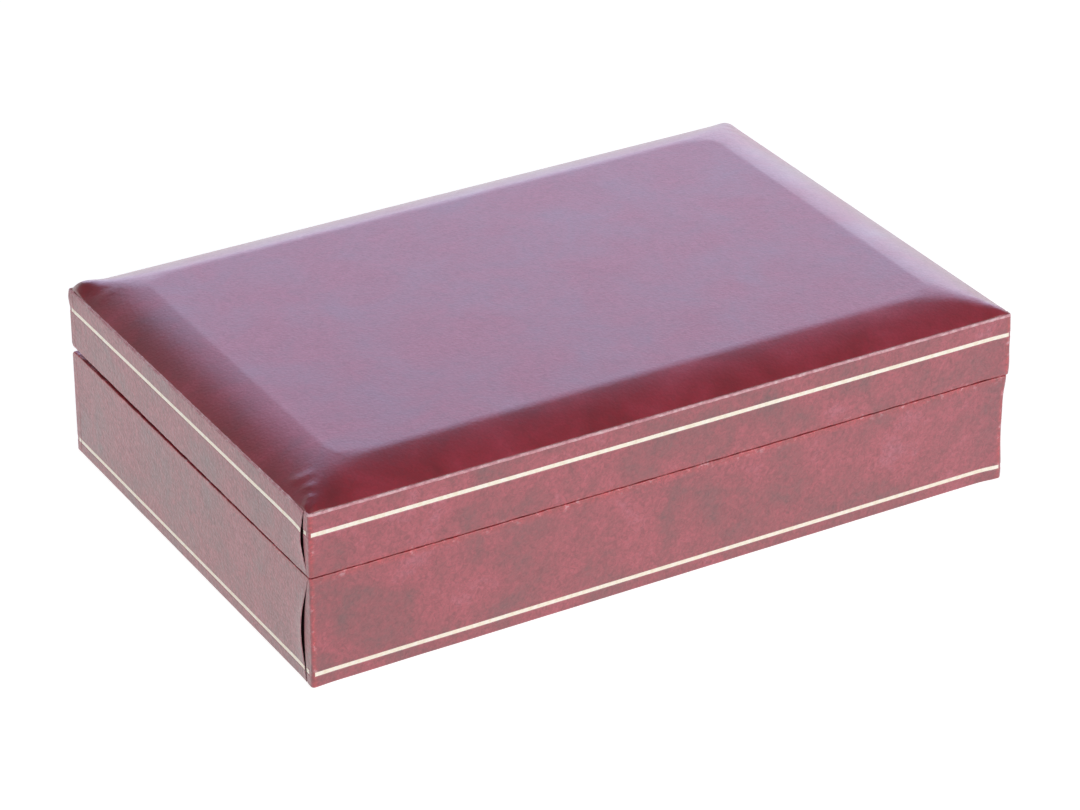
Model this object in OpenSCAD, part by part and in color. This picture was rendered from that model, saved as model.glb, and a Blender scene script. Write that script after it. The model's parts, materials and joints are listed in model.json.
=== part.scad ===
// Covered stationery box: a shallow base and a lid with a bevelled, cushion-shaped top, joined along the rear by
// two small butt hinges. Both are wooden trays covered in leatherette strips with a gilt line, and lined.
// The origin is the middle of the underside. X runs along the length, -Y is the front, and the hinges are at +Y.
// The lid is drawn as a base turned upside down over the seam, so both share the modules for a tray.

/* [Case] */
// Length of the lid, end to end
case_l = 250; // [200:1:320]
// Depth of the case, front to rear
case_w = 166; // [130:1:230]
// Height of the middle of the seam between base and lid
seam_z = 37.5; // [28:0.5:60]
// Height of the lid's upright side, from the middle of the seam
lid_side_h = 21.6; // [19:0.2:40]
// How far the lid stands past the base at the right-hand end
lid_overhang = 1.2; // [0:0.1:2]
// Radius of the upright corners
corner_r = 1.2; // [1:0.1:3]

/* [Seam] */
// Gap between the two rims at the front
seam_front = 0.3; // [0.2:0.1:1]
// Gap between the two rims at the rear, which the hinge leaves hold open
seam_rear = 1.7; // [1.5:0.1:2.6]
// Bevel along the rear edge of each rim, where the lid comes to rest when open
rear_bevel = 1.5; // [1:0.1:1.8]

/* [Lid top] */
// Rise of the bevels from the lid's side to its flat panel
bevel_rise = 5.7; // [3:0.1:8]
// Width of the bevels along the front and the rear
bevel_side = 16.5; // [12:0.5:24]
// Width of the bevels at the two ends
bevel_end = 18.5; // [12:0.5:26]
// Radius of the bevels' rounded face, seen from the end
bevel_round = 50; // [30:1:120]
// Ledge where the raw edge of the side strips shows round the top covering
strip_ledge = 0.35; // [0.1:0.05:0.5]
// Height of the top board's upright edge, above the lid's walls
top_board_edge = 6; // [4:0.5:9]

/* [Walls and board] */
// Thickness of the wooden walls
wall_t = 6; // [5:0.5:10]
// Thickness of the base's bottom board
board_t = 3.5; // [2.5:0.5:6]

/* [Covering] */
// Thickness of the leatherette
cover_t = 0.6; // [0.5:0.1:1]
// How far the strips are turned under the base
turn_under = 7; // [5:0.5:9]
// How far the strips are turned down inside the rims
turn_in = 4; // [3:0.5:8]
// How far the front and rear strips wrap round onto the ends
wrap = 4; // [2:0.5:10]
// Gap between a wrapped strip and the end strip beside it
strip_gap = 0.3; // [0.2:0.1:0.8]

/* [Gilt lines] */
// Width of the gilt line
gilt_w = 1; // [0.6:0.1:2]
// Depth of the groove that the line is pressed into
gilt_depth = 0.18; // [0.1:0.02:0.3]
// How far the gilt lies below the leatherette round it
gilt_sink = 0.04; // [0.02:0.01:0.06]
// Height of the middle of the base's line above the underside
base_gilt_z = 4.45; // [2:0.05:12]
// Distance from the lid's upper edge down to the middle of its line
lid_gilt_down = 7; // [2:0.5:12]

/* [Lining] */
// Thickness of the lined card on the walls
lining_t = 0.8; // [0.5:0.1:1.5]
// Thickness of the velvet-covered floor pad
floor_pad_t = 2.4; // [1.5:0.1:4]
// Thickness of the padded satin panel under the top board
lid_pad_t = 3.2; // [2:0.1:5]
// Width of the rounded edge of both pads
pad_edge = 7; // [4:0.5:10]
// Gap between each pad and the lining round it
pad_gap = 0.3; // [0.2:0.1:0.6]

/* [Hinges] */
// Length of each hinge
hinge_l = 30; // [20:1:40]
// Distance of each hinge's middle from the end of the lid
hinge_in = 50; // [42:1:75]
// Thickness of a hinge leaf
leaf_t = 0.9; // [0.6:0.1:1]
// How far each leaf is let into the covering
leaf_let = 0.45; // [0.4:0.01:0.5]
// Gap from the inner edge of the rim to the leaf
leaf_margin = 0.4; // [0.2:0.1:0.8]
// Radius of the knuckles
knuckle_r = 1.5; // [1.3:0.1:1.8]
// Length of the lid leaf's knuckle, between the base leaf's two
mid_knuckle_l = 14; // [8:1:18]
// Gap between knuckles, and from a knuckle to the wood and leatherette
knuckle_gap = 0.25; // [0.2:0.05:0.4]
// Distance of the knuckles from the rear face
knuckle_inset = 0.05; // [0:0.05:0.3]
// Radius of the hinge pin
pin_r = 0.7; // [0.5:0.05:0.9]
// Running clearance round the pin in the lid leaf's knuckle
pin_play = 0.05; // [0.02:0.01:0.08]
// Radius of a screw's shank
screw_r = 0.5; // [0.4:0.05:0.6]
// Radius of a screw's countersunk head
screw_head_r = 1; // [0.8:0.05:1.1]
// Length of a screw below its leaf
screw_l = 7; // [5:0.5:9]
// Distance between neighbouring screws
screw_pitch = 11; // [6:0.5:12]

/* [Hidden] */

$fn = 64;
// Overlap that lets a cut run clear of a face
over = 1;

leather_side = [0.56, 0.24, 0.29];
leather_end = [0.55, 0.28, 0.33];
leather_top = [0.52, 0.27, 0.36];
gilt = [0.95, 0.88, 0.70];
beech = [0.80, 0.66, 0.46];
velvet = [0.30, 0.05, 0.09];
satin = [0.86, 0.78, 0.66];
felt = [0.22, 0.06, 0.08];
brass = [0.78, 0.63, 0.32];
steel = [0.72, 0.72, 0.74];

front_y = -case_w / 2;
rear_y = case_w / 2;
lid_edge_z = seam_z + lid_side_h;
lid_top_z = lid_edge_z + bevel_rise;

// Left and right ends of the base and of the lid
base_x = [-case_l / 2, case_l / 2 - lid_overhang];
lid_x = [-case_l / 2, case_l / 2];

// Distances in from the outer face: wood, inside of the wall, turned-in band, lining
wood_in = cover_t;
wall_in = wood_in + wall_t;
band_in = wall_in + cover_t;
lining_in = wall_in + lining_t;

// Floors of the two trays, the lid's measured upside down from the seam
base_foot = cover_t;
base_floor = base_foot + board_t;
lid_foot = seam_z - lid_side_h;
lid_floor = lid_foot + top_board_edge;

// The hinge pin's axis
hinge_x = case_l / 2 - hinge_in;
pin_y = rear_y - knuckle_inset - knuckle_r;
pin_z = seam_z;
leaf_seat = rim(rear_y) - leaf_let;
leaf_y = rear_y - band_in + leaf_margin;
plate_end = pin_y - knuckle_r - knuckle_gap;
screw_y = (leaf_y + plate_end) / 2;
screw_head_h = leaf_t * 0.7;

// Height of the base's rim at a distance y from the middle: the seam opens evenly towards the rear
function rim(y) = seam_z - (seam_front + (seam_rear - seam_front) * (y - front_y) / case_w) / 2;

// Slope of the rim, in height per depth
rim_slope = -(seam_rear - seam_front) / case_w / 2;

// Side view of a tray, d inside its outer face, with the foot at z0: points in Y and Z
function tray_outline(d, z0) =
    let (
        bevel_sum = rear_y + rim(rear_y) - rear_bevel - d * sqrt(2),
        bevel_y = (bevel_sum + d - rim(0)) / (1 + rim_slope)
    )
    [
        [front_y + d, z0],
        [rear_y - d, z0],
        [rear_y - d, bevel_sum - rear_y + d],
        [bevel_y, rim(bevel_y) - d],
        [front_y + d, rim(front_y + d) - d]
    ];

// A side view drawn in Y and Z, run along the length from x0 to x1
module run_along(x0, x1) {
    translate([x0, 0, 0])
        rotate([90, 0, 90])
            linear_extrude(x1 - x0)
                children();
}

// A front view drawn in X and Z, run along the depth from y0 to y1
module run_across(y0, y1) {
    translate([0, y1, 0])
        rotate([90, 0, 0])
            linear_extrude(y1 - y0)
                children();
}

// Plan of a tray, d inside its outer face, with rounded corners
module plan(x, d) {
    r = max(corner_r - d, 0.2);
    x0 = x[0] + d;
    x1 = x[1] - d;
    y = rear_y - d;
    translate([x0 + r, -y])
        square([x1 - x0 - 2 * r, 2 * y]);
    translate([x0, -y + r])
        square([x1 - x0, 2 * y - 2 * r]);
    for (px = [x0 + r, x1 - r], py = [-y + r, y - r])
        translate([px, py])
            circle(r);
}

// Upright prism over a plan, from z0 to z1
module prism(x, d, z0, z1) {
    translate([0, 0, z0])
        linear_extrude(z1 - z0)
            plan(x, d);
}

// Solid block of a tray, d inside its outer face, with the sloping rim on top
module tray_block(x, d, z0) {
    intersection() {
        prism(x, d, z0, seam_z);
        run_along(x[0], x[1])
            polygon(tray_outline(d, z0));
    }
}

// Space between two planes that follow the rim, top and bottom below it
module under_rim(x, top, bottom) {
    run_along(x[0], x[1])
        polygon([
            [front_y, rim(front_y) - bottom],
            [rear_y, rim(rear_y) - bottom],
            [rear_y, rim(rear_y) - top],
            [front_y, rim(front_y) - top]
        ]);
}

// Turns what is drawn as a base into the lid's place over the seam
module over_seam() {
    translate([0, 0, 2 * seam_z])
        mirror([0, 0, 1])
            children();
}

// Box between two corners
module box(low, high) {
    translate(low)
        cube(high - low);
}

// Front or rear wall, which runs the full length: side is -1 at the front and 1 at the rear
module long_wall(x, side, foot) {
    y0 = side < 0 ? front_y : rear_y - wall_in;
    intersection() {
        tray_block(x, wood_in, foot);
        box([x[0], y0, foot], [x[1], y0 + wall_in, seam_z]);
    }
}

// End wall, between the long walls: side is -1 at the left and 1 at the right
module end_wall(x, side, foot) {
    x0 = side < 0 ? x[0] : x[1] - wall_in;
    intersection() {
        tray_block(x, wood_in, foot);
        box([x0, front_y + wall_in, foot], [x0 + wall_in, rear_y - wall_in, seam_z]);
    }
}

// Whole covering of a tray: faces, rim, band inside the rim, and the part turned under where there is one
module skin(x, z0, under) {
    difference() {
        tray_block(x, 0, z0);
        tray_block(x, wood_in, under > 0 ? z0 + cover_t : z0 - over);
        prism(x, band_in, z0 + cover_t, seam_z + over);
        prism(x, under > 0 ? under : band_in, z0 - over, z0 + cover_t);
    }
    difference() {
        intersection() {
            prism(x, wall_in, z0, seam_z);
            under_rim(x, cover_t / 2, turn_in);
        }
        prism(x, band_in, z0 - over, seam_z + over);
    }
}

// Plan of the strip for the front (side -1) or rear (side 1), mitred at its corners and wrapped onto the ends
module long_strip_plan(x, side) {
    m = band_in + over;
    scale_y = side;
    mirror([0, scale_y < 0 ? 0 : 1])
        union() {
            polygon([
                [x[0] - over, front_y - over], [x[1] + over, front_y - over],
                [x[1] - m, front_y + m], [x[0] + m, front_y + m]
            ]);
            translate([x[0] - over, front_y - over])
                square([over + cover_t, over + wrap]);
            translate([x[1] - cover_t, front_y - over])
                square([over + cover_t, over + wrap]);
        }
}

// Plan of the strip for the left (side -1) or right (side 1) end, stopping short of the wrapped strips
module end_strip_plan(x, side) {
    m = band_in + over;
    edge = side < 0 ? x[0] : x[1];
    out = edge + side * over;
    inner = edge - side * m;
    stop = wrap + strip_gap;
    difference() {
        polygon([
            [out, front_y - over], [inner, front_y + m],
            [inner, rear_y - m], [out, rear_y + over]
        ]);
        for (y0 = [front_y - over, rear_y - stop])
            translate([min(out, edge - side * cover_t), y0])
                square([over + cover_t, over + stop]);
    }
}

// One strip of a tray's covering, cut from the whole by its plan, with the groove for the gilt line
module strip(x, z0, under, gilt_z) {
    difference() {
        intersection() {
            skin(x, z0, under);
            translate([0, 0, z0 - over])
                linear_extrude(seam_z - z0 + 2 * over)
                    children();
        }
        gilt_ring(x, -over, gilt_depth, gilt_z);
    }
}

// Ring round a tray at the height of its gilt line, between two distances in from the face
module gilt_ring(x, from, to, z) {
    difference() {
        prism(x, from, z - gilt_w / 2, z + gilt_w / 2);
        prism(x, to, z - gilt_w, z + gilt_w);
    }
}

// Gilt line of a tray, broken where the strips part
module gilt_line(x, z) {
    difference() {
        gilt_ring(x, gilt_sink, gilt_depth, z);
        for (ex = [x[0], x[1] - over], y0 = [front_y + wrap, rear_y - wrap - strip_gap])
            box([ex, y0, z - gilt_w], [ex + over, y0 + strip_gap, z + gilt_w]);
    }
}

// Lined card on the inside of a long wall: side is -1 at the front and 1 at the rear
module long_lining(x, side, floor_z) {
    y0 = side < 0 ? front_y + wall_in : rear_y - lining_in;
    intersection() {
        box([x[0] + wall_in, y0, floor_z], [x[1] - wall_in, y0 + lining_t, seam_z]);
        under_rim(x, turn_in, seam_z);
    }
}

// Lined card on the inside of an end wall: side is -1 at the left and 1 at the right
module end_lining(x, side, floor_z) {
    x0 = side < 0 ? x[0] + wall_in : x[1] - lining_in;
    intersection() {
        box([x0, front_y + lining_in, floor_z], [x0 + lining_t, rear_y - lining_in, seam_z]);
        under_rim(x, turn_in, seam_z);
    }
}

// Side view of a raised panel: half-width h, foot at z0, bevels of width b from z_edge to z_top, rounded by an
// arc of radius r. Everything lies t inside, and the upright sides lie side_in inside.
module bevel_view(h, b, z0, z_edge, z_top, r, t, side_in) {
    rise = z_top - z_edge;
    chord = norm([b, rise]);
    drop = sqrt(r * r - chord * chord / 4);
    cx = h - b / 2 - rise / chord * drop;
    cz = (z_edge + z_top) / 2 - b / chord * drop;
    difference() {
        translate([-h + side_in, z0])
            square([2 * (h - side_in), z_top - t - z0]);
        for (s = [0, 1])
            mirror([s, 0])
                difference() {
                    translate([cx, z0 - over])
                        square([h - cx + over, z_top - z0 + 2 * over]);
                    translate([cx, cz])
                        circle(r - t, $fn = 360);
                    translate([cx, z0 - 2 * over])
                        square([h - cx, z_edge - z0 - rise + 2 * over]);
                }
    }
}

// The lid's cushion-shaped top, its covering's outer face where t is 0, and its wood where t is the covering
module cushion(t, edge_in, side_in, z0) {
    intersection() {
        run_along(-case_l / 2, case_l / 2)
            bevel_view(case_w / 2 - edge_in, bevel_side - edge_in, z0, lid_edge_z, lid_top_z, bevel_round, t, side_in);
        run_across(front_y, rear_y)
            bevel_view(case_l / 2 - edge_in, bevel_end - edge_in, z0, lid_edge_z, lid_top_z, bevel_round, t, side_in);
    }
}

// Padded panel lying on the tray floor z0 between the linings, thickness t, with rounded edges
module pad(x, z0, t) {
    half_l = (x[1] - x[0]) / 2 - lining_in - pad_gap;
    half_w = case_w / 2 - lining_in - pad_gap;
    edge_h = t / 2;
    r = (pad_edge * pad_edge + edge_h * edge_h) / (2 * edge_h);
    translate([(x[0] + x[1]) / 2, 0, 0])
        intersection() {
            run_along(-half_l, half_l)
                bevel_view(half_w, pad_edge, z0, z0 + t - edge_h, z0 + t, r, 0, 0);
            run_across(-half_w, half_w)
                bevel_view(half_l, pad_edge, z0, z0 + t - edge_h, z0 + t, r, 0, 0);
        }
}

// Cylinder along X between x0 and x1 on the hinge pin's axis
module on_pin(x0, x1, r) {
    translate([x0, pin_y, pin_z])
        rotate([0, 90, 0])
            cylinder(h = x1 - x0, r = r);
}

// Places of a hinge's screws along its length
screw_places = [-screw_pitch, 0, screw_pitch];

// Stretches of the hinge that carry the base leaf's knuckles and the lid leaf's
base_knuckles = [[-hinge_l / 2, -mid_knuckle_l / 2 - knuckle_gap], [mid_knuckle_l / 2 + knuckle_gap, hinge_l / 2]];
lid_knuckles = [[-mid_knuckle_l / 2, mid_knuckle_l / 2]];

// One leaf with its knuckles, drawn as the base's
module leaf(at, knuckles, bore_r) {
    difference() {
        union() {
            box([at - hinge_l / 2, leaf_y, leaf_seat], [at + hinge_l / 2, plate_end, leaf_seat + leaf_t]);
            for (k = knuckles) {
                box([at + k[0], plate_end - over, leaf_seat], [at + k[1], pin_y, leaf_seat + leaf_t]);
                on_pin(at + k[0], at + k[1], knuckle_r);
            }
        }
        on_pin(at - hinge_l, at + hinge_l, bore_r);
        for (s = screw_places)
            translate([at + s, screw_y, 0])
                screw_shape();
    }
}

// A countersunk screw, its head level with the leaf
module screw_shape() {
    top = leaf_seat + leaf_t;
    translate([0, 0, leaf_seat - screw_l])
        cylinder(h = screw_l + leaf_t - screw_head_h, r = screw_r);
    translate([0, 0, top - screw_head_h])
        cylinder(h = screw_head_h, r1 = screw_r, r2 = screw_head_r);
}

// All the screws of one tray
module screws() {
    for (at = [-hinge_x, hinge_x], s = screw_places)
        translate([at + s, screw_y, 0])
            screw_shape();
}

// What the hinges need cut away from a tray's rear wall and strip: the seats, the hollow round the knuckles
// and the screw holes
module hinge_cuts() {
    for (at = [-hinge_x, hinge_x]) {
        box([at - hinge_l / 2, leaf_y, leaf_seat], [at + hinge_l / 2, rear_y + over, seam_z + over]);
        on_pin(at - hinge_l / 2 - knuckle_gap, at + hinge_l / 2 + knuckle_gap, knuckle_r + knuckle_gap);
        for (s = screw_places)
            translate([at + s, screw_y, leaf_seat - screw_l])
                cylinder(h = screw_l + over, r = screw_r);
    }
}

// Hinge pin, riveted flush at both ends
module pin(at) {
    on_pin(at - hinge_l / 2, at + hinge_l / 2, pin_r);
}

// Base: board, walls and underside

module base_board() {
    color(beech)
        prism(base_x, wood_in, base_foot, base_floor);
}

module base_front_wall() {
    color(beech)
        long_wall(base_x, -1, base_floor);
}

module base_rear_wall() {
    color(beech)
        difference() {
            long_wall(base_x, 1, base_floor);
            hinge_cuts();
        }
}

module base_left_wall() {
    color(beech)
        end_wall(base_x, -1, base_floor);
}

module base_right_wall() {
    color(beech)
        end_wall(base_x, 1, base_floor);
}

module base_underside() {
    color(felt)
        prism(base_x, turn_under, 0, base_foot);
}

// Base: leatherette strips and gilt line

module base_front_cover() {
    color(leather_side)
        strip(base_x, 0, turn_under, base_gilt_z)
            long_strip_plan(base_x, -1);
}

module base_rear_cover() {
    color(leather_side)
        difference() {
            strip(base_x, 0, turn_under, base_gilt_z)
                long_strip_plan(base_x, 1);
            hinge_cuts();
        }
}

module base_left_cover() {
    color(leather_end)
        strip(base_x, 0, turn_under, base_gilt_z)
            end_strip_plan(base_x, -1);
}

module base_right_cover() {
    color(leather_end)
        strip(base_x, 0, turn_under, base_gilt_z)
            end_strip_plan(base_x, 1);
}

module base_gilt_line() {
    color(gilt)
        gilt_line(base_x, base_gilt_z);
}

// Base: lining

module base_front_lining() {
    color(velvet)
        long_lining(base_x, -1, base_floor);
}

module base_rear_lining() {
    color(velvet)
        long_lining(base_x, 1, base_floor);
}

module base_left_lining() {
    color(velvet)
        end_lining(base_x, -1, base_floor);
}

module base_right_lining() {
    color(velvet)
        end_lining(base_x, 1, base_floor);
}

module base_floor_pad() {
    color(velvet)
        pad(base_x, base_floor, floor_pad_t);
}

// Lid: top board and walls

module lid_top_board() {
    color(beech)
        intersection() {
            cushion(cover_t, 0, cover_t, lid_edge_z - top_board_edge);
            prism(lid_x, wood_in, lid_edge_z - top_board_edge, lid_top_z);
        }
}

module lid_front_wall() {
    color(beech)
        over_seam()
            long_wall(lid_x, -1, lid_floor);
}

module lid_rear_wall() {
    color(beech)
        over_seam()
            difference() {
                long_wall(lid_x, 1, lid_floor);
                hinge_cuts();
            }
}

module lid_left_wall() {
    color(beech)
        over_seam()
            end_wall(lid_x, -1, lid_floor);
}

module lid_right_wall() {
    color(beech)
        over_seam()
            end_wall(lid_x, 1, lid_floor);
}

// Lid: top covering, strips and gilt line

module lid_top_cover() {
    color(leather_top)
        difference() {
            cushion(0, strip_ledge, 0, lid_edge_z - bevel_rise / 2);
            cushion(cover_t, 0, cover_t, 0);
            difference() {
                prism(lid_x, -over, 0, lid_edge_z);
                prism(lid_x, wood_in, -over, lid_edge_z + over);
            }
        }
}

module lid_front_cover() {
    color(leather_side)
        over_seam()
            strip(lid_x, lid_foot, 0, lid_foot + lid_gilt_down)
                long_strip_plan(lid_x, -1);
}

module lid_rear_cover() {
    color(leather_side)
        over_seam()
            difference() {
                strip(lid_x, lid_foot, 0, lid_foot + lid_gilt_down)
                    long_strip_plan(lid_x, 1);
                hinge_cuts();
            }
}

module lid_left_cover() {
    color(leather_end)
        over_seam()
            strip(lid_x, lid_foot, 0, lid_foot + lid_gilt_down)
                end_strip_plan(lid_x, -1);
}

module lid_right_cover() {
    color(leather_end)
        over_seam()
            strip(lid_x, lid_foot, 0, lid_foot + lid_gilt_down)
                end_strip_plan(lid_x, 1);
}

module lid_gilt_line() {
    color(gilt)
        over_seam()
            gilt_line(lid_x, lid_foot + lid_gilt_down);
}

// Lid: lining

module lid_front_lining() {
    color(satin)
        over_seam()
            long_lining(lid_x, -1, lid_floor);
}

module lid_rear_lining() {
    color(satin)
        over_seam()
            long_lining(lid_x, 1, lid_floor);
}

module lid_left_lining() {
    color(satin)
        over_seam()
            end_lining(lid_x, -1, lid_floor);
}

module lid_right_lining() {
    color(satin)
        over_seam()
            end_lining(lid_x, 1, lid_floor);
}

module lid_pad() {
    color(satin)
        over_seam()
            pad(lid_x, lid_floor, lid_pad_t);
}

// Hinges

module left_hinge_base_leaf() {
    color(brass)
        leaf(-hinge_x, base_knuckles, pin_r);
}

module right_hinge_base_leaf() {
    color(brass)
        leaf(hinge_x, base_knuckles, pin_r);
}

module left_hinge_lid_leaf() {
    color(brass)
        over_seam()
            leaf(-hinge_x, lid_knuckles, pin_r + pin_play);
}

module right_hinge_lid_leaf() {
    color(brass)
        over_seam()
            leaf(hinge_x, lid_knuckles, pin_r + pin_play);
}

module left_hinge_pin() {
    color(steel)
        pin(-hinge_x);
}

module right_hinge_pin() {
    color(steel)
        pin(hinge_x);
}

module base_hinge_screws() {
    color(brass)
        screws();
}

module lid_hinge_screws() {
    color(brass)
        over_seam()
            screws();
}

base_board();
base_front_wall();
base_rear_wall();
base_left_wall();
base_right_wall();
base_front_cover();
base_rear_cover();
base_left_cover();
base_right_cover();
base_underside();
base_front_lining();
base_rear_lining();
base_left_lining();
base_right_lining();
base_floor_pad();
base_gilt_line();
left_hinge_base_leaf();
right_hinge_base_leaf();
left_hinge_pin();
right_hinge_pin();
base_hinge_screws();
lid_top_board();
lid_front_wall();
lid_rear_wall();
lid_left_wall();
lid_right_wall();
lid_top_cover();
lid_front_cover();
lid_rear_cover();
lid_left_cover();
lid_right_cover();
lid_front_lining();
lid_rear_lining();
lid_left_lining();
lid_right_lining();
lid_pad();
lid_gilt_line();
left_hinge_lid_leaf();
right_hinge_lid_leaf();
lid_hinge_screws();
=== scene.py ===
"""Stationery box, closed: leatherette strips and cushion top, gilt lines, lined trays and brass hinges.

Lengths are in metres. The base is a tray standing on its foot, and the lid is the same tray turned over the
seam, so a strip is always worked out as the base's and turned at the end. A strip is a sheet carried along
its run: across it, a section climbs from the foot up the face, over the rim and down inside.
"""
import json
import math

import bpy
import numpy as np
from mathutils import Matrix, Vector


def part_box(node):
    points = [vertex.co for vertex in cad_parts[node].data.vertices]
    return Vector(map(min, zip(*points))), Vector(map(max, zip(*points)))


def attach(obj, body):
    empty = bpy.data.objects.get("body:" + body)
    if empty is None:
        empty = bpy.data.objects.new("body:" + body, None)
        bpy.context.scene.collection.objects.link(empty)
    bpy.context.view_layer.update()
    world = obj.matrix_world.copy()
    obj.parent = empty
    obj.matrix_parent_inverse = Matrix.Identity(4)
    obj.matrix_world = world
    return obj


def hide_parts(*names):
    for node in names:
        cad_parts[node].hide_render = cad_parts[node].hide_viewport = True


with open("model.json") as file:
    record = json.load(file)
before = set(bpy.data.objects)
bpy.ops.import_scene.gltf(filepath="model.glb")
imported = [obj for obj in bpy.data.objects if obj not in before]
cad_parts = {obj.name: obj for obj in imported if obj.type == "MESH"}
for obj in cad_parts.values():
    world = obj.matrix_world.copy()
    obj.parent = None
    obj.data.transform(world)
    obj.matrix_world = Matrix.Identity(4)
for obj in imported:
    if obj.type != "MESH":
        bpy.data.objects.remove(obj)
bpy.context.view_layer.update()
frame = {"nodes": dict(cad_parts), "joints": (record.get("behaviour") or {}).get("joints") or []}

MM = 0.001

# The sheet, the seam at the front and rear, and the bevel along the rear rims
COVER = 0.6 * MM
SEAM_FRONT = 0.16 * MM
SEAM_REAR = 1.7 * MM
REAR_BEVEL = 1.5 * MM
# The wooden wall, and how far a strip reaches over its rim, down inside, and under the foot
WALL = 6.0 * MM
RIM_REACH = WALL + 2 * COVER
TURN_IN = 4.0 * MM
TURN_UNDER = 7.0 * MM
# How far a wrap reaches over rim and foot, how far it goes on under the end strip, and how deep it lies there
WRAP_REACH = 1.9 * MM
UNDERLAY = 9.0 * MM
UNDERLAY_SINK = 0.48 * MM
# Radii of the upright corners and of the folds, and how near a corner the stations stand close together
CORNER = 0.8 * MM
ROUND = 0.34 * MM
NEAR_CORNER = 9 * MM
# The gilt line, and the closely drawn stretch of the section on either side of its middle
GILT_WIDTH = 1.35 * MM
GILT_ZONE = 1.1 * MM
GROOVE_DEPTH = 0.10 * MM
FOIL = 0.03 * MM
# How deep the rear rims are let in for the hinges
HINGE_BED = 0.5 * MM

hinge = next(j for j in frame["joints"] if j["name"] == "lid_hinge")
SEAM_Z = hinge["pos_m"][2]
HALF_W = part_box("base_rear_cover")[1].y
LEFT_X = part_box("lid_left_cover")[0].x
LID_RIGHT_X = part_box("lid_right_cover")[1].x
BASE_RIGHT_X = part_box("base_right_cover")[1].x
LID_EDGE_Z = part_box("lid_front_cover")[1].z
TOP_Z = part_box("lid_top_cover")[1].z

# Where the strips meet at each corner: the length of the wrap at the rim, midway and at the foot, the width
# of the gap beside it midway and at the foot, and how far the end strip's edge has lifted there
CORNERS = {
    "base": {
        ("front", "left"): (1.1 * MM, 4.5 * MM, 3.1 * MM, 0.9 * MM, 0.8 * MM, 0.80 * MM),
        ("front", "right"): (2.0 * MM, 3.6 * MM, 2.4 * MM, 0.5 * MM, 0.2 * MM, 0.25 * MM),
        ("rear", "left"): (3.0 * MM, 3.7 * MM, 3.1 * MM, 0.2 * MM, 0.1 * MM, 0.10 * MM),
        ("rear", "right"): (2.8 * MM, 4.0 * MM, 2.9 * MM, 0.3 * MM, 0.1 * MM, 0.15 * MM),
    },
    "lid": {
        ("front", "left"): (1.7 * MM, 3.4 * MM, 2.7 * MM, 0.8 * MM, 0.5 * MM, 0.70 * MM),
        ("front", "right"): (2.2 * MM, 3.3 * MM, 2.2 * MM, 0.5 * MM, 0.1 * MM, 0.20 * MM),
        ("rear", "left"): (2.9 * MM, 3.5 * MM, 3.0 * MM, 0.2 * MM, 0.1 * MM, 0.10 * MM),
        ("rear", "right"): (2.6 * MM, 3.8 * MM, 2.7 * MM, 0.3 * MM, 0.1 * MM, 0.15 * MM),
    },
}

# Where the covering stands off at a corner: the height, as the base's, how far out, and over what height. The
# spread is how far round the corner it can be seen
KNOCK_SPREAD = 5 * MM
KNOCKS = {
    ("base", "front", "left"): ((0, 0.3 * MM, 6 * MM),),
    ("base", "front", "right"): ((37 * MM, 0.7 * MM, 5 * MM), (24 * MM, 0.1 * MM, 7 * MM),
                                 (3 * MM, 0.8 * MM, 9 * MM)),
    ("lid", "rear", "left"): ((19.0 * MM, 0.35 * MM, 2.2 * MM),),
    ("lid", "front", "right"): ((23 * MM, 0.3 * MM, 5 * MM), (34 * MM, 0.6 * MM, 6 * MM)),
}


class Tray:
    """One half of the box: its ends, how far its covering stands off the right wall, and the heights of its
    foot and gilt line, measured as the base's.
    """

    def __init__(self, name, right_x, loose, foot, gilt_z, turned):
        self.name = name
        self.x0 = LEFT_X
        self.x1 = right_x + loose
        self.loose = {"left": 0, "right": loose}
        self.foot = foot
        self.gilt_z = gilt_z
        self.turned = turned
        self.corners = CORNERS[name]
        self.under = 0 if turned else TURN_UNDER


base = Tray("base", BASE_RIGHT_X, 0.6 * MM, 0.0, sum(c.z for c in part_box("base_gilt_line")) / 2, False)
lid = Tray("lid", LID_RIGHT_X, 0.4 * MM, 2 * SEAM_Z - LID_EDGE_Z,
           2 * SEAM_Z - sum(c.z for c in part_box("lid_gilt_line")) / 2, True)


# Shapes shared by the pieces

def smooth(t):
    """Rises from 0 at t = 0 to 1 at t = 1 with level ends: 3t^2 - 2t^3, held at 0 and 1 outside."""
    t = np.clip(t, 0, 1)
    return t * t * (3 - 2 * t)


def ripple(t, seed, length, octaves=4):
    """Smooth noise from -1 to 1 along t: sines, each about half as long as the last, from length down."""
    rng = np.random.default_rng(seed)
    total = np.zeros_like(np.asarray(t, float))
    weight = 0.0
    for k in range(octaves):
        share = 0.62 ** k
        wave = length * rng.uniform(0.8, 1.25) / 1.9 ** k
        total = total + share * np.sin(2 * math.pi * (t / wave + rng.uniform()))
        weight += share
    return total / weight


def swell(x, y, seed, length):
    """Smooth noise from about -1 to 1 over a surface: ripples along three directions, multiplied in pairs."""
    a = ripple(x + 0.35 * y, seed, length, 2)
    b = ripple(y - 0.25 * x, seed + 1, length, 2)
    c = ripple(0.7 * x - 0.7 * y, seed + 2, length * 0.6, 2)
    return 0.5 * a * b + 0.3 * c + 0.2 * a


def spread(*stretches):
    """Numbers from stretches of (start, end, count), each evenly divided, without repeats where they meet."""
    parts = [np.linspace(a, b, n, endpoint=False) for a, b, n in stretches]
    return np.append(np.concatenate(parts), stretches[-1][1])


def both_ways(half, length):
    """Stations over a whole length from those of its first half, which end in the middle."""
    return np.append(half[:-1], length - half[::-1])


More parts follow.
